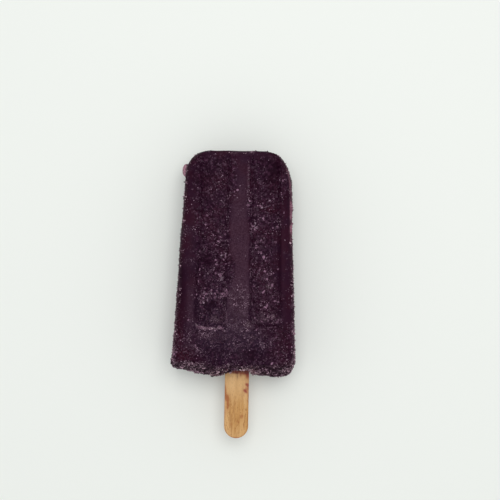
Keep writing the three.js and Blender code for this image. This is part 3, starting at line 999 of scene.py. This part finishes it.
keep_on_mesh(drip, "foot", smooth(drip_points[:, 0] - DRIP_AT[0], -0.9, 0.1))

# %% [markdown]
# ## The stick
#
# A flat birch stick with round ends and barely broken edges. A bevelled slab would have its form, but
# no points on its faces for the raised fibres. So its grid runs round the outline in one parameter, and
# from the middle of the upper face over the edge to the middle of the lower one in the other. The
# middle of a face is a line, where the points of both sides meet and are welded.

# %% Make the stick
STICK_LENGTH = 93.0
STICK_WIDTH = 10.0
STICK_THICKNESS = 2.0
STICK_EDGE = 0.3
SIDE_STEPS = 170
END_STEPS = 44
FACE_STEPS = 16
EDGE_STEPS = 4
FIBRE_STRETCH = (1.0, 0.06, 0.2)  # the wood's fibres change slowly along the stick
FIBRE_HEIGHT = 0.035

radius, run = STICK_WIDTH / 2, STICK_LENGTH - STICK_WIDTH
low_arc = math.pi + np.arange(END_STEPS) * math.pi / END_STEPS
high_arc = np.arange(END_STEPS) * math.pi / END_STEPS
rise = np.arange(SIDE_STEPS) / SIDE_STEPS
outline_angle = np.concatenate([low_arc, np.zeros(SIDE_STEPS), high_arc, np.full(SIDE_STEPS, math.pi)])
spine_y = np.concatenate([np.zeros(END_STEPS), rise * run, np.full(END_STEPS, run), (1 - rise) * run])

inset = np.linspace(0, 1, FACE_STEPS + 1) * (radius - STICK_EDGE)
bevel = np.linspace(0, math.pi / 2, EDGE_STEPS + 1)
reach = np.concatenate([inset, radius - STICK_EDGE + STICK_EDGE * np.sin(bevel[1:])])
level = np.concatenate([np.ones(FACE_STEPS + 1), 1 - STICK_EDGE * (1 - np.cos(bevel[1:]))])
reach, level = np.concatenate([reach, reach[::-1]]), np.concatenate([level, -level[::-1]])

stick_x = reach[:, None] * np.cos(outline_angle)
stick_y = spine_y + reach[:, None] * np.sin(outline_angle)
stick_z = np.broadcast_to(level[:, None] * STICK_THICKNESS / 2, stick_x.shape)
stick_grid = np.stack([stick_x, stick_y, stick_z], -1)
fibre = layered(stick_grid * np.array(FIBRE_STRETCH), 0.9, 3, 700)
on_face = smooth(radius - reach, 0, 0.8)[:, None]
stick_grid[..., 2] += np.sign(level)[:, None] * on_face * FIBRE_HEIGHT * fibre

fall = math.atan((THICKNESS[0] - THICKNESS[1]) / 2 / BLOCK_LENGTH)
turned_y = stick_grid[..., 1] * math.cos(fall) + stick_grid[..., 2] * math.sin(fall)
turned_z = stick_grid[..., 2] * math.cos(fall) - stick_grid[..., 1] * math.sin(fall)
first_y = radius - DOME - STICK_SHOWS
first_z = THICKNESS[0] / 2 - math.tan(fall) * first_y
stick_local = np.stack([stick_grid[..., 0], turned_y + first_y, turned_z + first_z], -1)
no_faces = np.zeros((0, 3), int)
stick_quads = closed_faces(*stick_x.shape)[0]
stick = put_in_mesh("wooden_stick", stick_local.reshape(-1, 3) + start, stick_quads, no_faces)

# %% Stains of the stick, and painted shade on its edges
RED_STAINS = (
    (4.6, -4.6, 0.6, 1.0, 1.0),
    (4.2, -8.4, 0.6, 0.5, 2.2),
    (4.7, -8.9, 0.4, 0.5, 1.6),
    (3.4, -10.9, 0.6, 0.5, 1.9),
    (4.0, -11.6, 0.5, 0.4, 1.6),
    (4.4, -10.3, 0.5, 0.5, 1.0),
    (3.0, -3.8, 1.4, 0.6, 1.2),
    (-1.0, -3.6, 3.4, 0.5, 0.8),
    (1.5, -4.4, 0.4, 0.9, 0.8),
)
BROWN_STAINS = (
    (4.3, -4.6, 0.8, 1.9, 1.5),
    (4.2, -10.0, 0.9, 2.0, 0.8),
    (-4.8, -11.4, 0.45, 2.4, 1.7),
    (-4.0, -14.0, 0.7, 1.2, 2.0),
    (-3.7, -16.8, 0.5, 2.2, 1.3),
    (-4.6, -20.0, 0.5, 2.0, 0.5),
    (4.8, -14.0, 0.35, 2.5, 0.6),
    (0.0, -30.6, 2.4, 0.35, 0.8),
    (2.3, -21.6, 0.7, 0.8, 0.8),
    (-2.1, -25.0, 0.5, 0.4, 0.7),
    (0.8, -23.9, 0.7, 0.5, 0.5),
)
SOAKED_STREAK = ((0.2, -5.0, 0.3, 1.3, 0.6),)
DRY_DOTS = ((-2.4, -9.6, 0.3, 0.3, 0.9), (-1.4, -9.6, 0.3, 0.3, 0.9))

stick_points = stick_local.reshape(-1, 3)
at_stick = (stick_points[:, 0], stick_points[:, 1])
wobble = 0.5 + 0.5 * layered(stick_points, 1.1, 3, 710)
# Painted shade: the stick's rounded edges are darkened, and this goes into the brown stain mask with the
# real stains.
edge_shade = np.broadcast_to(1 - smooth(radius - reach, 0.1, 0.7)[:, None], stick_x.shape).ravel()
ice_line = stick_points[:, 1] + 1.6 * (wobble - 0.5)
STICK_MASKS = {
    "juice": spots(RED_STAINS, *at_stick) * (0.45 + 0.9 * wobble),
    "stains_and_edge_shade": spots(BROWN_STAINS, *at_stick) * (0.5 + 0.8 * wobble) + 0.28 * edge_shade,
    "soaked": smooth(ice_line, -4.4, -3.2) + spots(SOAKED_STREAK, *at_stick),
    "dry": smooth(stick_points[:, 1], -19, -8) + spots(DRY_DOTS, *at_stick),
}
for name, mask in STICK_MASKS.items():
    keep_on_mesh(stick, name, np.clip(mask, 0, 1))
    print(name, "covers", round(100 * (mask > 0.3).mean()), "% of the stick")

# %% Weld the stick's middle lines
weld = bmesh.new()
weld.from_mesh(stick.data)
bmesh.ops.remove_doubles(weld, verts=weld.verts, dist=1e-6)
print("open edges of the stick:", sum(not e.is_manifold for e in weld.edges))
weld.to_mesh(stick.data)
weld.free()

# %% [markdown]
# ## Node helpers
#
# Materials are built from small steps, each a node. They could be laid out by hand in the Shader
# Editor. In a script a node takes several lines, so these helpers add one, set its sockets, and link
# those that are given as other nodes' outputs, all in one line that reads like a formula.

# %% Helpers for node trees
def fill(node, **inputs):
    """Sets sockets of the node, each to a plain value or to another node's output. They go by name,
    with _ for a space, or by number as n0, n1 and so on."""
    for key, value in inputs.items():
        by_number = key[0] == "n" and key[1:].isdigit()
        socket = node.inputs[int(key[1:]) if by_number else key.replace("_", " ")]
        if isinstance(value, bpy.types.NodeSocket):
            node.id_data.links.new(value, socket)
        else:
            socket.default_value = value


def add_node(tree, kind, output=0, settings=None, **inputs):
    """A new node of that kind, with `settings` for its own properties and `inputs` for its sockets.
    Gives back one of its outputs, by number or by name."""
    node = tree.nodes.new(kind)
    for key, value in (settings or {}).items():
        setattr(node, key, value)
    fill(node, **inputs)
    return node.outputs[output]


def math_node(tree, operation, a, b):
    return add_node(tree, "ShaderNodeMath", settings={"operation": operation}, n0=a, n1=b)


def times(tree, a, b):
    return math_node(tree, "MULTIPLY", a, b)


def vector_node(tree, operation, a, **inputs):
    return add_node(tree, "ShaderNodeVectorMath", settings={"operation": operation}, n0=a, **inputs)


def colour_mix(tree, mask, under, over):
    """The colour `over` laid on `under` as strongly as the mask says. A Mix node has a set of sockets
    for each kind of value: its inputs 6 and 7 and its output 2 are the colours."""
    settings = {"data_type": "RGBA"}
    return add_node(tree, "ShaderNodeMix", output=2, settings=settings, n0=mask, n6=under, n7=over)


def lay_over(tree, colour, *layers):
    """The colour with others laid on it in turn, each given as (mask, colour)."""
    for mask, over in layers:
        colour = colour_mix(tree, mask, colour, over)
    return colour


def step_node(tree, value, low, high, out_low=0.0, out_high=1.0):
    """A soft step from out_low to out_high as the value goes from low to high."""
    return add_node(tree, "ShaderNodeMapRange", settings={"interpolation_type": "SMOOTHSTEP"},
                    Value=value, From_Min=low, From_Max=high, To_Min=out_low, To_Max=out_high)


def noise_node(tree, place, scale, detail, output=0, **inputs):
    """Noise at the place: output 0 is one number and output 1 is three, as a colour."""
    return add_node(tree, "ShaderNodeTexNoise", output, Vector=place, Scale=scale, Detail=detail, **inputs)


def attribute(tree, name):
    """The number that the mesh keeps under that name, which is output 2 of an Attribute node."""
    return add_node(tree, "ShaderNodeAttribute", output=2, settings={"attribute_name": name})


def srgb(r, g, b):
    """A colour given as 0 to 255 on a screen, as the linear values that nodes take."""
    c = np.array([r, g, b]) / 255
    linear = np.where(c <= 0.04045, c / 12.92, ((c + 0.055) / 1.055) ** 2.4)
    return (*(float(v) for v in linear), 1.0)


print("a middle grey of 128 is", round(srgb(128, 128, 128)[0], 3), "in linear values")

# %% [markdown]
# ## Two effects that the ices share
#
# The block, its crystals and the drip are all the same frozen juice. "Ice flecks" picks some cells of
# a fine cell pattern as pale grains, and "ice grain" gives the height of the fine roughness. Their
# nodes could be copied into every material, but then each change would have to be made in all of
# them. So each is a node group with named inputs, built once, and the ices differ only in the values
# that they give it.

# %% Group: ice flecks
def new_group(name, numbers, result):
    """A node group that takes a vector and some numbers, given with their usual values, and gives one
    result. Gives back the group, its input node's outputs and its output node."""
    group = bpy.data.node_groups.new(name, "ShaderNodeTree")
    group.interface.new_socket("Vector", in_out="INPUT", socket_type="NodeSocketVector")
    for label, usual in numbers.items():
        socket = group.interface.new_socket(label, in_out="INPUT", socket_type="NodeSocketFloat")
        socket.default_value = usual
    group.interface.new_socket(result, in_out="OUTPUT", socket_type="NodeSocketFloat")
    return group, group.nodes.new("NodeGroupInput").outputs, group.nodes.new("NodeGroupOutput")


def build_flecks():
    """Mask = (random number of the cell over 1 - amount) * (near the cell's middle). The vector is
    moved by a noise first, by `ragged` cells at most, so that the cells aren't neat polygons."""
    group, enter, leave = new_group("ice flecks", {"Per mm": 1.0, "Amount": 0.2, "Ragged": 0.5}, "Mask")
    per_metre = times(group, enter["Per mm"], 1 / MM)
    wander = noise_node(group, enter["Vector"], per_metre, 2.0, output=1)
    centred = vector_node(group, "SUBTRACT", wander, n1=(0.5, 0.5, 0.5))
    shrink = math_node(group, "DIVIDE", enter["Ragged"], per_metre)
    offset = vector_node(group, "SCALE", centred, Scale=shrink)
    moved = vector_node(group, "ADD", enter["Vector"], n1=offset)
    cell = add_node(group, "ShaderNodeTexVoronoi", "Distance", Vector=moved, Scale=per_metre)
    drawn = add_node(group, "ShaderNodeSeparateColor", Color=cell.node.outputs["Color"])
    threshold = math_node(group, "SUBTRACT", 1.0, enter["Amount"])
    picked = step_node(group, math_node(group, "SUBTRACT", drawn, threshold), -0.04, 0.12)
    near_middle = step_node(group, cell, 0.75, 0.2)
    fill(leave, Mask=times(group, picked, near_middle))
    return group


flecks_group = build_flecks()
print("group", flecks_group.name, "with", len(flecks_group.nodes), "nodes")


# %% Group: ice grain
def build_grain():
    """Height = fine noise + half of a noise three times as fine."""
    group, enter, leave = new_group("ice grain", {"Per mm": 1.0}, "Height")
    per_metre = times(group, enter["Per mm"], 1 / MM)
    coarse = noise_node(group, enter["Vector"], per_metre, 3.0, Roughness=0.6)
    fine = noise_node(group, enter["Vector"], times(group, per_metre, 3.0), 2.0)
    fill(leave, Height=math_node(group, "ADD", coarse, times(group, fine, 0.5)))
    return group


grain_group = build_grain()
print("group", grain_group.name, "with", len(grain_group.nodes), "nodes")


# %% Helpers for materials
def new_material(name, piece):
    """A material of that name on the piece. Gives back its tree, its shader and the place of each
    point in metres."""
    material = bpy.data.materials.new(name)
    material.use_nodes = True
    piece.data.materials.append(material)
    tree = material.node_tree
    return tree, tree.nodes["Principled BSDF"], add_node(tree, "ShaderNodeTexCoord", "Object")


def place_group(tree, group, **inputs):
    return add_node(tree, "ShaderNodeGroup", settings={"node_tree": group}, **inputs)


def bump(tree, height, strength, distance_mm):
    return add_node(tree, "ShaderNodeBump", Height=height, Strength=strength, Distance=distance_mm * MM)


# %% [markdown]
# ## The finish of the ice
#
# Dark juice, frozen: slow clouds between a red and a blue purple, with the masks laid over them.
# Frost is a grey haze broken up by fine grain, flecks are pale crystals just under the surface, and
# clear ice is nearly black. Its near-black is also laid on as painted shade: over the free end's face,
# in the gaps between grains and across the closed end of the right channel. Glass with coloured
# absorption could make the ice too, but it shows little in ice this dark and can't be exported as a
# picture, so everything is colour on an opaque surface. The gloss is weak, since the surface is frosted.

# %% Material: frozen juice
JUICE_RED = srgb(47, 18, 33)
JUICE_BLUE = srgb(42, 19, 36)
JUICE_COOL = srgb(35, 19, 36)
HAZE_COOL = srgb(74, 58, 72)
CLEAR_AND_SHADE_DARK = srgb(28, 5, 20)
MOTTLED = srgb(66, 36, 55)
HAZE_DARK = srgb(48, 23, 38)
HAZE_PALE = srgb(77, 52, 66)
FLECK = srgb(98, 74, 90)
WARM_RED = srgb(52, 14, 26)
BLUSH_RED = srgb(108, 52, 72)
BLUSH_PINK = srgb(168, 120, 138)
RIME_GREY = srgb(150, 116, 134)
RIME_WHITE = srgb(224, 196, 210)
ICE_IOR = 1.31

tree, shader, place = new_material("frozen fruit juice", ice)
grain_mask = attribute(tree, "grain")
crust_and_end_shade_mask = attribute(tree, "crust_and_end_shade")
clear_and_shadow_mask = attribute(tree, "clear_ice_and_shadow")
cool_mask = attribute(tree, "cool")
rime_mask = attribute(tree, "rime")
slow = noise_node(tree, place, 140.0, 3.0)
mottle = place_group(tree, grain_group, Vector=place, Per_mm=0.9)
grain_node = place_group(tree, grain_group, Vector=place, Per_mm=1.3)
fine = place_group(tree, grain_group, Vector=place, Per_mm=2.2)
print("the juice's red is", [round(c, 4) for c in JUICE_RED[:3]], "in linear values")

# %% Its body: clouds, clear ice, painted shade and pale lumps
# Painted shade: the free end's face and the painted shadow at the channel's end take the near-black of
# clear ice.
clear_ice_and_shade = math_node(tree, "MAXIMUM", clear_and_shadow_mask, times(tree, crust_and_end_shade_mask, 0.9))
# Painted shade: where a noise is low, the grainy ice is darkened for the shade in the gaps between grains.
shaded_gaps = times(tree, step_node(tree, mottle, 0.78, 0.6), grain_mask)
pale_lumps = times(tree, step_node(tree, mottle, 0.77, 0.97), grain_mask)
body_colour = lay_over(
    tree,
    colour_mix(tree, step_node(tree, slow, 0.38, 0.62), JUICE_RED, JUICE_BLUE),
    (cool_mask, JUICE_COOL),
    (attribute(tree, "warm"), WARM_RED),
    (times(tree, clear_ice_and_shade, 0.85), CLEAR_AND_SHADE_DARK),
    (shaded_gaps, CLEAR_AND_SHADE_DARK),
    (times(tree, pale_lumps, 0.9), MOTTLED),
)
print("with its body,", len(tree.nodes), "nodes")

# %% Its haze, flecks, rime and blush
haze_grain = math_node(tree, "ADD", times(tree, fine, 0.62), times(tree, grain_node, 0.38))
haze_pale = colour_mix(tree, cool_mask, HAZE_PALE, HAZE_COOL)
haze = colour_mix(tree, step_node(tree, haze_grain, 0.6, 0.92), HAZE_DARK, haze_pale)

amount = 0.01
for mask, share in ((grain_mask, 0.16), (crust_and_end_shade_mask, 0.08), (cool_mask, 0.08)):
    amount = math_node(tree, "ADD", times(tree, mask, share), amount)
big_flecks = place_group(tree, flecks_group, Vector=place, Per_mm=0.9, Amount=amount, Ragged=1.2)
small_flecks = place_group(tree, flecks_group, Vector=place, Per_mm=2.0, Amount=amount, Ragged=1.2)
fleck = math_node(tree, "MAXIMUM", times(tree, big_flecks, 0.5), small_flecks)
fleck = times(tree, fleck, step_node(tree, clear_and_shadow_mask, 0.9, 0.2, 0.0, 0.8))
fleck_colour = colour_mix(tree, crust_and_end_shade_mask, FLECK, RIME_GREY)

rime_broken = times(tree, rime_mask, step_node(tree, haze_grain, 0.64, 0.86))
rime_colour = colour_mix(tree, step_node(tree, rime_mask, 0.6, 1.0), RIME_GREY, RIME_WHITE)
pink = colour_mix(tree, step_node(tree, fine, 0.55, 0.98), BLUSH_RED, BLUSH_PINK)
print("with the haze, flecks, rime and blush,", len(tree.nodes), "nodes")

# %% All of it on the ice's shader
fill(
    shader,
    Base_Color=lay_over(
        tree,
        body_colour,
        (attribute(tree, "frost"), haze),
        (fleck, fleck_colour),
        (rime_broken, rime_colour),
        (attribute(tree, "blush"), pink),
    ),
    Roughness=step_node(tree, fine, 0.4, 1.1, 0.42, 0.62),
    IOR=ICE_IOR,
    Specular_IOR_Level=0.04,
    Coat_Weight=attribute(tree, "gloss"),
    Coat_Roughness=0.2,
    Coat_IOR=ICE_IOR,
    Normal=bump(tree, math_node(tree, "ADD", fine, times(tree, fleck, 0.8)), 0.7, 0.12),
)
print("the ice's material has", len(tree.nodes), "nodes")

# %% [markdown]
# ## The finish of the crystals
#
# Refrozen grains are paler than the block, and no two are alike. Each crystal has a tone of its own,
# kept on its mesh, that takes it from dark to pale: the higher the power, the more of them stay dark.
# A fine noise over the tone paints highlights and shade on each crystal's faces.
# One finish with six sets of values serves all of them, since they differ only in colour.

# %% Materials: crystals
CRYSTAL_FINISHES = (  # piece, name, dark, pale, its rime, how much the rime shows, power of the tone
    (grains, "channel grains", (42, 15, 33), (162, 122, 146), RIME_GREY, 0.5, 2.2),
    (packed, "packed grains", (46, 22, 38), (158, 132, 148), RIME_GREY, 0.5, 2.2),
    (specks, "fine specks", (44, 17, 34), (178, 146, 164), RIME_GREY, 0.5, 2.2),
    (splinters, "rime", (44, 14, 32), (234, 194, 212), RIME_WHITE, 0.4, 1.8),
    (lumps, "packed ice", (28, 9, 22), (92, 62, 80), RIME_GREY, 0.1, 2.2),
    (crumbs, "entry crumbs", (80, 42, 54), (236, 206, 212), RIME_WHITE, 0.3, 1.4),
)
for piece, name, dark, pale, rimed, rime_shows, power in CRYSTAL_FINISHES:
    tree, shader, place = new_material(name, piece)
    fine = place_group(tree, grain_group, Vector=place, Per_mm=3.0)
    tone = math_node(tree, "POWER", attribute(tree, "tone"), power)
    # Painted highlight and shade: a fine noise brightens and darkens parts of each crystal's tone.
    tone = times(tree, tone, step_node(tree, fine, 0.6, 0.95, 0.35, 1.3))
    colour = lay_over(
        tree,
        colour_mix(tree, tone, srgb(*dark), srgb(*pale)),
        (times(tree, attribute(tree, "rime"), rime_shows), rimed),
        (times(tree, attribute(tree, "blush"), 0.6), BLUSH_PINK),
    )
    fill(
        shader,
        Base_Color=colour,
        Roughness=step_node(tree, fine, 0.4, 1.1, 0.25, 0.5),
        IOR=ICE_IOR,
        Specular_IOR_Level=0.1,
        Normal=bump(tree, fine, 0.4, 0.05),
    )
    print(name, "has", len(tree.nodes), "nodes")

# %% Material: thin pink ice
DRIP_RED = srgb(112, 62, 80)
DRIP_PINK = srgb(182, 138, 152)

tree, shader, place = new_material("thin pink ice", drip)
fine = place_group(tree, grain_group, Vector=place, Per_mm=1.2)
colour = colour_mix(tree, step_node(tree, fine, 0.5, 1.0), DRIP_RED, DRIP_PINK)
fill(
    shader,
    Base_Color=colour_mix(tree, attribute(tree, "foot"), colour, JUICE_RED),
    Roughness=step_node(tree, fine, 0.5, 1.0, 0.18, 0.34),
    IOR=ICE_IOR,
    Normal=bump(tree, fine, 0.3, 0.1),
)
print("thin pink ice has", len(tree.nodes), "nodes")

# %% [markdown]
# ## The finish of the wood
#
# Sanded birch, unvarnished: streaks run along the stick, fine dark pores lie between them, and it is
# paler near the ice. A picture of wood could be wrapped round it, but noise has no seams and no edges:
# squeezing the coordinates along the stick before they reach a noise texture turns round blots into
# streaks. The stains, and a painted shade along the rounded edges, follow masks kept on the mesh.

# %% Material: birch
BIRCH_PALE = srgb(212, 168, 112)
BIRCH_GOLD = srgb(192, 142, 80)
BIRCH_BROWN = srgb(152, 98, 46)
BIRCH_DRY = srgb(230, 190, 138)
JUICE_STAIN = srgb(136, 30, 26)
BROWN_STAIN_AND_EDGE_SHADE = srgb(146, 62, 12)
JUICE_SOAKED = srgb(112, 50, 42)
LONG_GRAIN = (1.0, 0.1, 0.6)  # how the coordinates are squeezed
SHORT_GRAIN = (1.0, 0.3, 0.6)

tree, shader, place = new_material("birch", stick)
long_grain = add_node(tree, "ShaderNodeMapping", Vector=place, Scale=LONG_GRAIN)
short_grain = add_node(tree, "ShaderNodeMapping", Vector=place, Scale=SHORT_GRAIN)
broad = noise_node(tree, long_grain, 420.0, 3.0, Distortion=0.3)
streaks = noise_node(tree, long_grain, 1100.0, 4.0, Roughness=0.6)
pores = noise_node(tree, short_grain, 2600.0, 3.0, Roughness=0.7)
colour = lay_over(
    tree,
    colour_mix(tree, step_node(tree, broad, 0.3, 0.7), BIRCH_GOLD, BIRCH_PALE),
    (step_node(tree, streaks, 0.48, 0.7, 0.0, 0.5), BIRCH_BROWN),
    (step_node(tree, pores, 0.54, 0.62, 0.0, 0.65), BIRCH_BROWN),
    (times(tree, attribute(tree, "dry"), 0.45), BIRCH_DRY),
    # Real brown stains, and painted shade along the stick's edges.
    (times(tree, attribute(tree, "stains_and_edge_shade"), 0.75), BROWN_STAIN_AND_EDGE_SHADE),
    (times(tree, attribute(tree, "juice"), 0.85), JUICE_STAIN),
    (attribute(tree, "soaked"), JUICE_SOAKED),
)
fill(
    shader,
    Base_Color=colour,
    Roughness=step_node(tree, streaks, 0.3, 0.7, 0.55, 0.72),
    Specular_IOR_Level=0.35,
    Normal=bump(tree, math_node(tree, "ADD", streaks, times(tree, pores, 0.6)), 0.5, 0.05),
)
print("birch has", len(tree.nodes), "nodes")

# %% [markdown]
# ## Put it on the frame
#
# Everything rides on the frame's one body, since nothing on the lolly moves. The fine block stands for
# the solid block and the fine stick for the solid stick, which both stay in the frame for collision.

# %% Ride, replace and finish
for piece in (ice, grains, packed, specks, splinters, lumps, crumbs, drip):
    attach(piece, "root")
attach(stick, "root")
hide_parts("ice_block")
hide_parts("stick")

sizes = {
    "cad": [list(corner) for corner in cad_bounds],
    "visual": [list(corner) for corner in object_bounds()],
}
for name, (low, high) in sizes.items():
    print(name, "box in mm:", [round(c / MM, 1) for c in low], "to", [round(c / MM, 1) for c in high])
